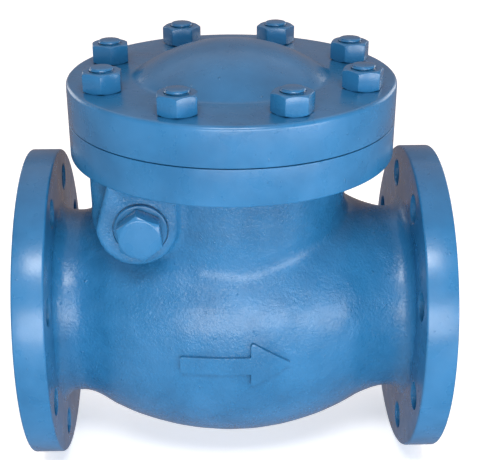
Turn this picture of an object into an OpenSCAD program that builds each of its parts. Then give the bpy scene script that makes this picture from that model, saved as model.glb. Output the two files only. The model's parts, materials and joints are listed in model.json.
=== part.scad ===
// Flanged swing check valve, DN 100.
// X runs with the flow from the inlet face (x = 0), Z runs up through the bonnet.
// Inside the modules the origin moves to where the pipe axis meets the bonnet axis.

/* [Pipe ends] */
// Bore of the pipeline
bore_d = 100; // [96:1:102]
// Distance between the two raised faces
face_to_face = 292; // [288:1:300]
// Outer diameter of the pipe flanges
flange_d = 220; // [210:1:230]
// Thickness of a pipe flange without its raised face
flange_t = 21; // [18:1:24]
// Diameter of the raised sealing face
raised_d = 156; // [150:1:158]
// Height of the raised sealing face
raised_h = 3; // [2:1:3]
// Bolt circle of the pipe flanges
pipe_pcd = 180; // [178:1:184]
// Diameter of the inlet flange's bolt holes
inlet_hole_d = 18.8; // [17:0.1:20]
// Diameter of the outlet flange's bolt holes
outlet_hole_d = 19.2; // [17:0.1:20]

/* [Body casting] */
// Outer radius of the short necks behind the pipe flanges
neck_r = 66; // [64:1:68]
// Largest outer radius of the belly
belly_r = 96.5; // [96:0.5:98]
// Radius of the belly's arc on the inlet side
belly_arc_in = 190; // [185:1:195]
// Radius of the belly's arc on the outlet side
belly_arc_out = 175; // [170:1:180]
// Wall thickness of the casting
wall = 12; // [10:0.5:12]
// Fillet where a neck meets its flange
neck_fillet = 9; // [6:1:12]
// Outer radius of the upright neck under the bonnet
tower_r = 78; // [77:0.5:79]
// Outer diameter of the bonnet joint's flanges
cover_d = 220; // [216:1:224]
// Height of the body's top flange underside above the pipe axis
top_flange_z = 117.5; // [116:0.5:119]
// Thickness of the body's top flange
top_flange_t = 24; // [23:0.5:26]

/* [Bonnet] */
// Thickness of the bonnet's flange
bonnet_t = 25.5; // [24:0.5:28]
// Radius of the dome at its foot
dome_r = 65.5; // [63:0.5:67]
// Rise of the dome above the bonnet's flange
dome_h = 21.5; // [20:0.5:24]
// Thickness of the sheet gasket in the bonnet joint
gasket_t = 1.5; // [1:0.5:2]
// Bolt circle of the bonnet joint
cover_pcd = 180; // [178:1:182]
// Number of studs in the bonnet joint
stud_n = 8; // [8:2:8]
// Diameter of the bonnet studs
stud_d = 16; // [14:1:16]
// Width across the flats of the bonnet nuts
nut_af = 24; // [22:1:24]
// Height of the bonnet nuts
nut_h = 13; // [12:1:14]

/* [Hinge] */
// Distance of the hinge pin upstream of the bonnet axis
pin_back = 60; // [59:0.5:61]
// Height of the hinge pin above the pipe axis
pin_z = 90; // [89:0.5:91]
// Diameter of the hinge pin
pin_d = 16; // [15:0.5:17]
// Running clearance on the radius, for pin in bush and stud in eye
run_gap = 0.05; // [0.03:0.01:0.08]
// Radius of the lug that carries the hinge plug
lug_r = 26; // [25:0.5:28]
// Radius of the housing behind the lug
housing_r = 33; // [32:0.5:34]
// Distance of the lug's face in front of the pipe axis
lug_y = 77; // [75:0.5:79]
// Width across the flats of the hinge plug
plug_af = 27; // [26:1:27]
// Height of the hinge plug's hexagon
plug_h = 14; // [12:1:15]
// Diameter of the collar washer under the hinge plug
plug_washer_d = 34; // [32:0.5:36]

/* [Disc] */
// Outer radius of the disc
disc_r = 57.5; // [57:0.5:58]
// Thickness of the disc's plate
disc_t = 11; // [10:0.5:12]
// Diameter of the disc's stud
disc_stud_d = 16; // [14:1:16]
// Distance of the seat's face upstream of the bonnet axis
seat_back = 50; // [49.5:0.5:50]

/* [Flow arrow] */
// Length of the cast arrow
arrow_l = 74; // [60:1:80]
// Width of the cast arrow across its barbs
arrow_w = 34; // [28:1:38]
// Height of the cast arrow above the belly
arrow_h = 2.5; // [1.5:0.5:3]

/* [Hidden] */
$fn = 96;
eps = 0.5;

casting_blue = [0.20, 0.47, 0.66];
brass_gold = [0.76, 0.62, 0.30];
steel_grey = [0.62, 0.63, 0.65];
gasket_grey = [0.25, 0.27, 0.28];

// pipe ends
half_l = face_to_face / 2;
bore_r = bore_d / 2;
rim_out = half_l - raised_h;
rim_in = rim_out - flange_t;
bolt_n = 8;
half_pitch = 180 / bolt_n;
edge_round = 1.5;

// bonnet joint, counted up from the pipe axis
joint_z = top_flange_z + top_flange_t;
bonnet_z = joint_z + gasket_t;
cover_z = bonnet_z + bonnet_t;
tower_bore_r = tower_r - wall;
dome_sphere_r = (dome_r * dome_r + dome_h * dome_h) / (2 * dome_h);
gasket_od = cover_pcd - stud_d - 4;
stud_depth = 20;
stud_proud = 2.3;
stud_chamfer = 1;
stud_hole_d = stud_d + 2;
nut_chamfer = 1.2;

// seat ring: pressed into the wall between inlet and chamber
seat_x = -seat_back;
seat_wall_x = seat_x - 3;
seat_recess_x = seat_x - 12;
seat_ring_r = 60;

// hinge
pin_x = -pin_back;
pin_r = pin_d / 2;
pocket_r = 24;
pocket_half = 28;
hub_r = 15;
hub_half = 24;
bush_r = pin_r + 3;
bush_l = 22;
bush_boss_r = bush_r + 6;
rear_lug_y = 68;
thrust_t = 3.5;
thrust_r = 14;
plug_thread_r = 12;
plug_thread_l = 20;
plug_washer_t = 2.5;
plug_turn = 7;
plug_chamfer = 2;
housing_y = 60;
pin_front_y = -(pocket_half + bush_l + 2);
pin_rear_y = pocket_half + bush_l - 1;
bush_front_y = -(pocket_half + bush_l);
rear_bore_y = pocket_half + bush_l + 1;
heel_l = 22.5;
heel_w = 11;
swing = 60;
stop_gap = 0.4;
lug_lean = 5;

// disc and arm: positions along X, counted from the bonnet axis
ring_proud = 1;
ring_t = 5;
ring_in_r = 51;
ring_out_r = 56;
disc_x = seat_x + ring_proud;
disc_back_x = disc_x + disc_t;
disc_edge_t = 5;
disc_taper = 5;
disc_boss_r = 19;
disc_boss_h = 8.2;
boss_x = disc_back_x + disc_boss_h;
eye_gap = 0.3;
eye_x = boss_x + eye_gap;
eye_t = 13;
eye_r = 19;
eye_back_x = eye_x + eye_t;
disc_stud_r = disc_stud_d / 2;
eye_bore_r = disc_stud_r + run_gap;
disc_washer_x = eye_back_x + eye_gap;
disc_washer_t = 3;
disc_washer_r = 15;
disc_nut_x = disc_washer_x + disc_washer_t;
disc_nut_af = 24;
disc_nut_t = 13;
disc_nut_back_x = disc_nut_x + disc_nut_t;
disc_stud_end_x = disc_nut_back_x + 7;
disc_stud_in_x = disc_x + 3;
split_pin_x = disc_nut_back_x + 3;
split_pin_r = 1.5;
split_pin_l = 24;
split_head_r = 3;
web_w = 20;
web_t = eye_t - 1;
elbow_x = eye_x + eye_t / 2;
elbow_z = 63;
elbow_r = web_t / 2 + 0.4;

// ---------- helpers ----------

// turns an outline of [radius, position] about the pipe axis
module lathe_x() {
    rotate([0, 90, 0]) rotate_extrude() children();
}

// turns an outline of [radius, height] about the bonnet axis
module lathe_z() {
    rotate_extrude() children();
}

// a rod along X from x0 to x1
module rod_x(r, x0, x1) {
    translate([x0, 0, 0]) rotate([0, 90, 0]) cylinder(r = r, h = x1 - x0);
}

// a rod along Y through the hinge axis, from y0 to y1
module rod_y(r, y0, y1) {
    translate([pin_x, y1, pin_z]) rotate([90, 0, 0]) cylinder(r = r, h = y1 - y0);
}

// a plain ring along X
module ring_x(r_out, r_in, x0, x1) {
    difference() {
        rod_x(r_out, x0, x1);
        rod_x(r_in, x0 - eps, x1 + eps);
    }
}

// a plain ring along Y on the hinge axis
module ring_y(r_out, r_in, y0, y1) {
    difference() {
        rod_y(r_out, y0, y1);
        rod_y(r_in, y0 - eps, y1 + eps);
    }
}

// places copies on a circle about Z, straddling the X and Y axes
module straddle(count, pcd) {
    for (i = [0:count - 1])
        rotate([0, 0, (i + 0.5) * 360 / count]) translate([pcd / 2, 0, 0]) children();
}

// an outline of a turned rim with rounded outer corners: radius 0 to r, height 0 to t
module rim_outline(r, t) {
    square([r - edge_round, t]);
    translate([0, edge_round]) square([r, t - 2 * edge_round]);
    for (y = [edge_round, t - edge_round])
        translate([r - edge_round, y]) circle(r = edge_round);
}

// a hexagon prism with its corners chamfered at the top, standing on z = 0
module hex_prism(af, h, chamfer) {
    corner_r = af / 2 / cos(30);
    intersection() {
        cylinder(r = corner_r, h = h, $fn = 6);
        rotate_extrude() polygon([
            [0, 0], [corner_r + eps, 0], [corner_r + eps, h - chamfer],
            [af / 2 - chamfer / 2, h], [0, h]
        ]);
    }
}

// ---------- body casting ----------

// half of the belly's outline; side is -1 for the inlet and 1 for the outlet
module belly_outline(side, arc_r, grow) {
    intersection() {
        translate([belly_r - arc_r, 0]) circle(r = arc_r + grow);
        translate([0, side > 0 ? 0 : -rim_in]) square([belly_r + grow, rim_in]);
    }
}

module both_bellies(grow) {
    belly_outline(-1, belly_arc_in, grow);
    belly_outline(1, belly_arc_out, grow);
}

// the concave corner between a neck and its flange
module neck_fillet_outline() {
    for (side = [-1, 1])
        difference() {
            translate([neck_r - eps, side > 0 ? rim_in - neck_fillet : -rim_in])
                square([neck_fillet + eps, neck_fillet]);
            translate([neck_r + neck_fillet, side * (rim_in - neck_fillet)])
                circle(r = neck_fillet);
        }
}

module pipe_flange(hole_d) {
    difference() {
        union() {
            lathe_x() translate([0, rim_in]) rim_outline(flange_d / 2, flange_t);
            rod_x(raised_d / 2, rim_out - eps, half_l);
        }
        rotate([0, 90, 0]) straddle(bolt_n, pipe_pcd)
            translate([0, 0, rim_in - eps]) cylinder(d = hole_d, h = flange_t + 2 * eps);
    }
}

// the hinge's housing: a round bottom and sides up to the top flange, the upstream one leaning in
module u_block(r, y0, y1, lean) {
    rise = top_flange_z - pin_z + eps;
    rod_y(r, y0, y1);
    translate([pin_x, y1, pin_z]) rotate([90, 0, 0]) linear_extrude(height = y1 - y0)
        polygon([[-r, 0], [r, 0], [r, rise], [lean - r, rise]]);
}

module top_flange() {
    translate([0, 0, top_flange_z]) lathe_z() rim_outline(cover_d / 2, top_flange_t);
}

module outer_form() {
    lathe_x() {
        both_bellies(0);
        translate([0, -rim_in]) square([neck_r, 2 * rim_in]);
        neck_fillet_outline();
    }
    cylinder(r = tower_r, h = top_flange_z + eps);
    top_flange();
    u_block(housing_r, -housing_y, housing_y, 0);
    u_block(lug_r, -lug_y, rear_lug_y, lug_lean);
    pipe_flange(outlet_hole_d);
    mirror([1, 0, 0]) pipe_flange(inlet_hole_d);
    flow_arrow();
}

module chamber_outline() {
    intersection() {
        both_bellies(-wall);
        translate([0, seat_wall_x]) square([belly_r, rim_in - seat_wall_x]);
    }
}

module stud_sockets() {
    translate([0, 0, joint_z - stud_depth]) straddle(stud_n, cover_pcd)
        cylinder(d = stud_d, h = stud_depth + eps);
}

// the cast hollows: flow chamber, upright neck and hinge pocket
module hollows() {
    lathe_x() chamber_outline();
    translate([0, 0, pin_z - pocket_r]) cylinder(r = tower_bore_r, h = joint_z);
    intersection() {
        translate([0, 0, bore_r / 2]) cylinder(r = tower_bore_r, h = joint_z);
        translate([seat_wall_x, -tower_r, 0]) cube([2 * tower_r, 2 * tower_r, 2 * joint_z]);
    }
    rod_y(pocket_r, -pocket_half, pocket_half);
}

// the machined holes
module bores() {
    rod_x(bore_r, -half_l - eps, half_l + eps);
    rod_x(seat_ring_r, seat_recess_x, seat_x);
    rod_y(bush_r, bush_front_y - eps, rear_bore_y);
    rod_y(plug_thread_r, -lug_y - eps, bush_front_y);
    stud_sockets();
}

// the inner bosses that carry the two pin bushes
module bush_bosses() {
    rod_y(bush_boss_r, bush_front_y, -pocket_half);
    rod_y(bush_boss_r, pocket_half, -bush_front_y);
}

// the rib in the hinge pocket that the arm's heel meets when the disc is fully open
module swing_stop() {
    translate([pin_x, web_w / 2, pin_z]) rotate([90, 0, 0]) linear_extrude(height = web_w)
        rotate(90 + swing) translate([hub_r + stop_gap, heel_w / 2 + stop_gap])
            square([pocket_r - hub_r, heel_w / 2]);
}

// the outline of an arrow pointing with the flow, about its own centre
module arrow_outline() {
    shaft_w = arrow_w * 0.36;
    head_l = arrow_w * 0.8;
    translate([-arrow_l / 2, -shaft_w / 2]) square([arrow_l - head_l + eps, shaft_w]);
    translate([arrow_l / 2 - head_l, 0])
        polygon([[0, -arrow_w / 2], [head_l, 0], [0, arrow_w / 2]]);
}

// a plain arrow cast on the front of the belly
module flow_arrow() {
    intersection() {
        lathe_x() both_bellies(arrow_h);
        translate([0, -belly_r / 2, 0]) rotate([90, 0, 0])
            linear_extrude(height = belly_r) arrow_outline();
    }
}

module body() {
    color(casting_blue) translate([half_l, 0, 0]) difference() {
        union() {
            difference() {
                outer_form();
                hollows();
            }
            bush_bosses();
            swing_stop();
        }
        bores();
    }
}

module seat_ring() {
    color(brass_gold) translate([half_l, 0, 0])
        ring_x(seat_ring_r, bore_r, seat_recess_x, seat_x);
}

// ---------- bonnet ----------

// a ball's cap that rises from z = 0, as wide as foot_r at its foot
module cap(ball_r, foot_r) {
    drop = sqrt(ball_r * ball_r - foot_r * foot_r);
    intersection() {
        translate([0, 0, -drop]) sphere(r = ball_r);
        cylinder(r = foot_r + eps, h = ball_r);
    }
}

module bonnet() {
    hollow_r = dome_r - 3;
    hollow_z = cover_z - wall;
    color(casting_blue) translate([half_l, 0, 0]) difference() {
        union() {
            translate([0, 0, bonnet_z]) lathe_z() rim_outline(cover_d / 2, bonnet_t);
            translate([0, 0, cover_z]) cap(dome_sphere_r, dome_r);
        }
        translate([0, 0, bonnet_z - eps]) cylinder(r = hollow_r, h = hollow_z - bonnet_z + 2 * eps);
        translate([0, 0, hollow_z]) cap(dome_sphere_r, hollow_r - eps);
        translate([0, 0, bonnet_z - eps]) straddle(stud_n, cover_pcd)
            cylinder(d = stud_hole_d, h = bonnet_t + 2 * eps);
    }
}

module bonnet_gasket() {
    color(gasket_grey) translate([half_l, 0, joint_z]) difference() {
        cylinder(d = gasket_od, h = gasket_t);
        translate([0, 0, -eps]) cylinder(r = tower_bore_r, h = gasket_t + 2 * eps);
    }
}

// a stud with chamfered ends, standing on z = 0
module stud(d, h) {
    rotate_extrude() polygon([
        [0, 0], [d / 2 - stud_chamfer, 0], [d / 2, stud_chamfer],
        [d / 2, h - stud_chamfer], [d / 2 - stud_chamfer, h], [0, h]
    ]);
}

module bonnet_studs() {
    stud_l = cover_z + nut_h + stud_proud - joint_z + stud_depth;
    color(steel_grey) translate([half_l, 0, joint_z - stud_depth])
        straddle(stud_n, cover_pcd) stud(stud_d, stud_l);
}

module bonnet_nuts() {
    color(casting_blue) translate([half_l, 0, cover_z])
        straddle(stud_n, cover_pcd) difference() {
            hex_prism(nut_af, nut_h, nut_chamfer);
            translate([0, 0, -eps]) cylinder(d = stud_d, h = nut_h + 2 * eps);
        }
}

// ---------- hinge ----------

module hinge_plug() {
    color(casting_blue) translate([half_l, 0, 0]) {
        rod_y(plug_thread_r, -lug_y - plug_washer_t, plug_thread_l - lug_y);
        translate([pin_x, -lug_y - plug_washer_t, pin_z]) rotate([90, plug_turn, 0])
            rotate([0, 0, 30]) hex_prism(plug_af, plug_h, plug_chamfer);
    }
}

module plug_washer() {
    color(casting_blue) translate([half_l, 0, 0])
        ring_y(plug_washer_d / 2, plug_thread_r, -lug_y - plug_washer_t, -lug_y);
}

module pin_bush(y0) {
    color(brass_gold) translate([half_l, 0, 0])
        ring_y(bush_r, pin_r + run_gap, y0, y0 + bush_l);
}

module hinge_pin() {
    color(steel_grey) translate([half_l, 0, 0]) rod_y(pin_r, pin_front_y, pin_rear_y);
}

module thrust_washer(y0) {
    color(brass_gold) translate([half_l, 0, 0])
        ring_y(thrust_r, pin_r + run_gap, y0, y0 + thrust_t);
}

// the arm seen from the side, in X and Z: a bar from the hub to the elbow and down to the eye
module arm_outline() {
    reach = sqrt(pow(elbow_x - pin_x, 2) + pow(pin_z - elbow_z, 2));
    lean = atan2(pin_z - elbow_z, elbow_x - pin_x);
    translate([pin_x, pin_z]) rotate(-lean) translate([0, -web_t / 2]) square([reach, web_t]);
    translate([elbow_x, elbow_z]) circle(r = elbow_r);
    translate([elbow_x - web_t / 2, 0]) square([web_t, elbow_z]);
}

module hinge_arm() {
    color(casting_blue) translate([half_l, 0, 0]) difference() {
        union() {
            rod_y(hub_r, -hub_half, hub_half);
            translate([0, web_w / 2, 0]) rotate([90, 0, 0])
                linear_extrude(height = web_w) arm_outline();
            rod_x(eye_r, eye_x, eye_back_x);
            translate([pin_x - heel_w / 2, -web_w / 2, pin_z]) cube([heel_w, web_w, heel_l]);
        }
        rod_y(pin_r, -hub_half - eps, hub_half + eps);
        rod_x(eye_bore_r, eye_x - eps, eye_back_x + web_t);
    }
}

// ---------- disc ----------

module disc() {
    color(casting_blue) translate([half_l, 0, 0]) difference() {
        union() {
            translate([disc_x, 0, 0]) lathe_x() polygon([
                [0, 0], [disc_r, 0], [disc_r, disc_edge_t],
                [disc_r - disc_taper, disc_t], [0, disc_t]
            ]);
            rod_x(disc_boss_r, disc_back_x - eps, boss_x);
        }
        ring_x(ring_out_r, ring_in_r, disc_x - eps, disc_x - ring_proud + ring_t);
        rod_x(disc_stud_r, disc_stud_in_x, boss_x + eps);
    }
}

module disc_face_ring() {
    color(brass_gold) translate([half_l, 0, 0])
        ring_x(ring_out_r, ring_in_r, seat_x, seat_x + ring_t);
}

module disc_stud() {
    color(steel_grey) translate([half_l, 0, 0]) difference() {
        translate([disc_stud_in_x, 0, 0]) rotate([0, 90, 0])
            stud(disc_stud_d, disc_stud_end_x - disc_stud_in_x);
        translate([split_pin_x, 0, -disc_stud_d]) cylinder(r = split_pin_r, h = 2 * disc_stud_d);
    }
}

module disc_washer() {
    color(steel_grey) translate([half_l, 0, 0])
        ring_x(disc_washer_r, disc_stud_r, disc_washer_x, disc_nut_x);
}

module disc_nut() {
    color(steel_grey) translate([half_l + disc_nut_x, 0, 0]) rotate([0, 90, 0]) difference() {
        hex_prism(disc_nut_af, disc_nut_t, nut_chamfer);
        translate([0, 0, -eps]) cylinder(r = disc_stud_r, h = disc_nut_t + 2 * eps);
    }
}

module disc_split_pin() {
    color(steel_grey) translate([half_l + split_pin_x, 0, -split_pin_l / 2]) {
        cylinder(r = split_pin_r, h = split_pin_l);
        translate([0, 0, split_pin_l]) sphere(r = split_head_r);
    }
}

body();
seat_ring();
bonnet();
bonnet_gasket();
bonnet_studs();
bonnet_nuts();
hinge_plug();
plug_washer();
pin_bush(bush_front_y);  // pin_bush_front
pin_bush(pocket_half);  // pin_bush_rear
hinge_pin();
thrust_washer(-pocket_half);  // thrust_washer_front
thrust_washer(pocket_half - thrust_t);  // thrust_washer_rear
hinge_arm();
disc();
disc_face_ring();
disc_stud();
disc_washer();
disc_nut();
disc_split_pin();
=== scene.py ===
"""Looks of the flanged swing check valve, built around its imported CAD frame.

Shapes are worked out in millimetres from the point where the pipe axis meets the bonnet axis:
X runs with the flow, Y away from the camera, Z up. mesh_object() turns them into metres in the frame.
"""
import json
import math

import bpy
import numpy as np
from mathutils import Matrix, Vector, noise


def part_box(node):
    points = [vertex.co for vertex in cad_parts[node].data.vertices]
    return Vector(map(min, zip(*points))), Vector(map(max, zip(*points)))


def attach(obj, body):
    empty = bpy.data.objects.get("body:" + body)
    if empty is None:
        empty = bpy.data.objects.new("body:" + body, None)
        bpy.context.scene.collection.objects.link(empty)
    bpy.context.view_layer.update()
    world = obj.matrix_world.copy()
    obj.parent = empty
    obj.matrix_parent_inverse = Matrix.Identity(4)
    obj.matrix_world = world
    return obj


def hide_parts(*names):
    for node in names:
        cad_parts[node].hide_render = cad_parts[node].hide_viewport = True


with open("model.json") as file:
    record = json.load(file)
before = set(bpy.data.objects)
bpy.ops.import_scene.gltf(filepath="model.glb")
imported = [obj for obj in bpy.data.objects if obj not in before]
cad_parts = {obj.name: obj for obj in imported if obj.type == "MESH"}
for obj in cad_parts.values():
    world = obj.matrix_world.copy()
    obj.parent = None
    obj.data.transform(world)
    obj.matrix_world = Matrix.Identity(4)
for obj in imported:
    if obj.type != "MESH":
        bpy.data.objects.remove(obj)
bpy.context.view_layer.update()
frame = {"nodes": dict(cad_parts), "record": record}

# ---------------------------------------------------------------- sizes from the frame

MM = 0.001
MIDDLE_X = (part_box("body")[0][0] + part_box("body")[1][0]) / 2


def box_mm(node):
    """Lowest and highest corner of a CAD node, in mm from the valve's middle."""
    middle = np.array((MIDDLE_X, 0.0, 0.0))
    return [(np.array(corner) - middle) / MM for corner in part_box(node)]


def record_item(items, name):
    return next(item for item in items if item["name"] == name)


MOUNTS = frame["record"]["mounts"]
HALF_L = box_mm("body")[1][0]
FLANGE_R = -box_mm("body")[0][2]
BORE_R = record_item(MOUNTS, "inlet_bore")["dims"]["r_mm"]
PIPE_BOLTS = record_item(MOUNTS, "inlet_bolts")
PIPE_PCD = PIPE_BOLTS["dims"]["pcd_mm"]
INLET_HOLE_R = PIPE_BOLTS["dims"]["hole_r_mm"]
OUTLET_HOLE_R = record_item(MOUNTS, "outlet_bolts")["dims"]["hole_r_mm"]
RAISED_H = PIPE_BOLTS["pos_m"][0] / MM
SWING = record_item(frame["record"]["behaviour"]["joints"], "disc_swing")
PIN_X = (SWING["pos_m"][0] - MIDDLE_X) / MM
PIN_Z = SWING["pos_m"][2] / MM
JOINT_Z = box_mm("bonnet_gasket")[0][2]
BONNET_Z = box_mm("bonnet")[0][2]
COVER_R = box_mm("bonnet")[1][0]
COVER_Z = box_mm("bonnet_nuts")[0][2]
DOME_Z = box_mm("bonnet")[1][2]
NUT_TOP_Z = box_mm("bonnet_nuts")[1][2]
STUD_TOP_Z = box_mm("bonnet_studs")[1][2]
STUD_LOW_Z = box_mm("bonnet_studs")[0][2]
SEAT_LOW_X, SEAT_FACE_X = box_mm("seat_ring")[0][0], box_mm("seat_ring")[1][0]
SEAT_RING_R = box_mm("seat_ring")[1][2]
LUG_Y = box_mm("plug_washer")[1][1]
PLUG_SEAT_Y = box_mm("plug_washer")[0][1]
PLUG_FRONT_Y = box_mm("hinge_plug")[0][1]
PLUG_IN_Y = box_mm("hinge_plug")[1][1]
BUSH_R = box_mm("pin_bush_front")[1][2] - PIN_Z
BUSH_END_Y = box_mm("pin_bush_front")[0][1]
BUSH_IN_Y = box_mm("pin_bush_front")[1][1]
DISC_X0, DISC_X1 = box_mm("disc")[0][0], box_mm("disc")[1][0]
DISC_R = box_mm("disc")[1][2]
RING_BACK_X = box_mm("disc_face_ring")[1][0]
ARM_BACK_X = box_mm("disc_washer")[0][0] - 0.3
PIN_R = box_mm("hinge_pin")[1][2] - PIN_Z
WASHER_R = box_mm("plug_washer")[1][2] - PIN_Z
HOLE_COUNT = PIPE_BOLTS["dims"]["count"]
STUD_COUNT = 8
STUD_STEP = 360 / STUD_COUNT
STUD_R = 8.0
COVER_PCD = 2 * (box_mm("bonnet_studs")[1][0] - STUD_R) / math.cos(math.radians(STUD_STEP / 2))

# ---------------------------------------------------------------- casting sizes

FLANGE_T = 21.0
RIM_OUT = HALF_L - RAISED_H
RIM_IN = RIM_OUT - FLANGE_T
RAISED_R = 78.0
NECK_R = 66.0
NECK_FILLET = 9.0
BELLY_R = 96.5
BELLY_ARC_IN = 190.0
BELLY_ARC_OUT = 175.0
SHOULDER_X = -90.3
SHOULDER_R = 74.5
WALL = 12.0
TOWER_R = 78.0
TOWER_BORE_R = TOWER_R - WALL
TOP_FLANGE_Z = 117.5
POCKET_R = 24.0
LUG_R = 26.0
HOUSING_R = 33.0
HOUSING_Y = 58.0
REAR_LUG_Y = 68.0
LUG_LEAN = 8.0
LUG_X = PIN_X - 2.6
DOME_FOOT_R = 65.5
LAND_R = 82.0
LAND_H = 0.4
# The casting's core and the turned flanges reach LAP into each other. The core's plates start SET_BACK
# inside the flanges' back faces, so that the turned faces are the ones that show.
LAP = 6.0
SET_BACK = 0.15
# Fillets and rounded edges of the casting.
SHOULDER_EDGE = 3.0
BELLY_FILLET = 8.0
CREASE_FILLET = 4.5
UPPER_FILLET = 2.5
HOUSING_EDGE = 8.0
HOUSING_FILLET = 7.0
LUG_EDGE = 3.0
TOP_FILLET = 4.0
CHAMBER_EDGE = 4.0
CHAMBER_FILLET = 5.0
POCKET_FILLET = 3.0
BOSS_EDGE = 2.0
HOLLOW_EDGE = 2.0
BOSS_WALL = 6.0
SEAT_WALL = 3.0
# How far the housing runs up into the top flange, and the outlet's bore in from its flange.
HOUSING_LAP = 5.0
OUTLET_RUN = 25.0
# Grid steps of the casting's mesh.
FINE_STEP = 2.4
ARROW_L = 74.0
ARROW_W = 34.0
ARROW_H = 2.5

# ---------------------------------------------------------------- mesh helpers


def new_object(name, data):
    obj = bpy.data.objects.new(name, data)
    bpy.context.scene.collection.objects.link(obj)
    return obj


def mesh_object(name, verts_mm, faces, materials):
    """A mesh in metres, in the frame, from points in mm about the valve's middle."""
    mesh = bpy.data.meshes.new(name)
    verts = np.asarray(verts_mm, float) * MM + (MIDDLE_X, 0.0, 0.0)
    mesh.from_pydata(verts.tolist(), [], faces)
    for material in materials:
        mesh.materials.append(material)
    mesh.validate()
    return new_object(name, mesh)


def smooth(obj, angle=35.0):
    """Smooth shading, sharp where faces meet at more than the angle or where the surface changes."""
    mesh = obj.data
    mesh.polygons.foreach_set("use_smooth", [True] * len(mesh.polygons))
    mesh.set_sharp_from_angle(angle=math.radians(angle))
    if len(mesh.materials) < 2:
        return
    sharp = mesh.attributes.get("sharp_edge") or mesh.attributes.new("sharp_edge", "BOOLEAN", "EDGE")
    flags = np.zeros(len(mesh.edges), bool)
    sharp.data.foreach_get("value", flags)
    loop_edge = np.zeros(len(mesh.loops), int)
    mesh.loops.foreach_get("edge_index", loop_edge)
    counts = np.zeros(len(mesh.polygons), int)
    mesh.polygons.foreach_get("loop_total", counts)
    slots = np.zeros(len(mesh.polygons), int)
    mesh.polygons.foreach_get("material_index", slots)
    per_loop = np.repeat(slots, counts)
    low = np.full(len(mesh.edges), len(mesh.materials))
    high = np.full(len(mesh.edges), -1)
    np.minimum.at(low, loop_edge, per_loop)
    np.maximum.at(high, loop_edge, per_loop)
    flags |= low != high
    sharp.data.foreach_set("value", flags)


def rounded(corners, steps=4):
    """An outline from corners (a, b, radius): each corner with a radius becomes an arc."""
    points = []
    count = len(corners)
    for i, (a, b, radius) in enumerate(corners):
        here = np.array((a, b), float)
        if radius <= 0:
            points.append(here)
            continue
        before = np.array(corners[i - 1][:2], float) - here
        after = np.array(corners[(i + 1) % count][:2], float) - here
        before /= np.linalg.norm(before)
        after /= np.linalg.norm(after)
        half = math.acos(np.clip(before @ after, -1, 1)) / 2
        middle = before + after
        centre = here + middle / np.linalg.norm(middle) * radius / math.sin(half)
        start = here + before * radius / math.tan(half) - centre
        end = here + after * radius / math.tan(half) - centre
        sweep = math.pi - 2 * half
        for k in range(steps + 1):
            t = k / steps
            near = math.sin((1 - t) * sweep) * start + math.sin(t * sweep) * end
            points.append(centre + near / math.sin(sweep))
    return points


def turned(name, outline, materials, axis="Z", segments=160):
    """A solid turned from a closed outline of (radius, along) points, about X, Y or Z."""
    outline = [(float(r), float(a)) for r, a in outline]
    area = sum(r * b[1] - b[0] * a for (r, a), b in zip(outline, outline[1:] + outline[:1]))
    if area < 0:
        outline.reverse()
    verts, rows = [], []
    for r, a in outline:
        if r <= 0:
            rows.append([len(verts)] * segments)
            verts.append((0.0, 0.0, a))
            continue
        rows.append(list(range(len(verts), len(verts) + segments)))
        turn = [2 * math.pi * i / segments for i in range(segments)]
        verts += [(r * math.cos(t), r * math.sin(t), a) for t in turn]
    faces = []
    for low, high in zip(rows, rows[1:] + rows[:1]):
        for i in range(segments):
            j = (i + 1) % segments
            corners = list(dict.fromkeys((low[i], low[j], high[j], high[i])))
            if len(corners) > 2:
                faces.append(corners)
    order = {"Z": (0, 1, 2), "X": (2, 0, 1), "Y": (1, 2, 0)}[axis]
    return mesh_object(name, np.array(verts)[:, order], faces, materials)


def apply_modifiers(obj):
    bpy.context.view_layer.update()
    depsgraph = bpy.context.evaluated_depsgraph_get()
    mesh = bpy.data.meshes.new_from_object(obj.evaluated_get(depsgraph))
    obj.modifiers.clear()
    obj.data = mesh
    return obj


def soften(obj, width_mm, angle, segments=2):
    """Rounds the edges where faces meet at more than the angle."""
    bevel = obj.modifiers.new("soft_edges", "BEVEL")
    bevel.width = width_mm * MM
    bevel.segments = segments
    bevel.limit_method = "ANGLE"
    bevel.angle_limit = math.radians(angle)


def combine(obj, others, operation):
    """Boolean of obj with each of the others, which are used up."""
    for other in others:
        step = obj.modifiers.new("boolean", "BOOLEAN")
        step.operation = operation
        step.solver = "MANIFOLD"
        step.object = other
        apply_modifiers(obj)
        bpy.data.objects.remove(other)
    return obj


def join(name, parts):
    """One object from parts that don't touch."""
    first = parts[0]
    with bpy.context.temp_override(
        active_object=first, object=first, selected_editable_objects=parts, selected_objects=parts
    ):
        bpy.ops.object.join()
    first.name = name
    first.data.name = name
    return first


def placed(obj, matrix_mm):
    """Moves an object's points by a matrix in mm about the valve's middle."""
    home = Matrix.Translation((MIDDLE_X, 0, 0))
    shift = matrix_mm.copy()
    shift.translation = shift.translation * MM
    obj.data.transform(home @ shift @ home.inverted())
    return obj


# ---------------------------------------------------------------- smooth shapes from distance fields


def join_round(a, b, radius):
    """Union of two distance fields with a fillet."""
    u = np.maximum(radius - a, 0)
    v = np.maximum(radius - b, 0)
    return np.maximum(radius, np.minimum(a, b)) - np.sqrt(u * u + v * v)


def cut_round(a, b, radius):
    """Field a without field b, with a rounded edge."""
    return -join_round(-a, b, radius)


def keep_round(a, b, radius):
    """Where both fields are solid, with a rounded edge."""
    return -join_round(-a, -b, radius)


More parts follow.
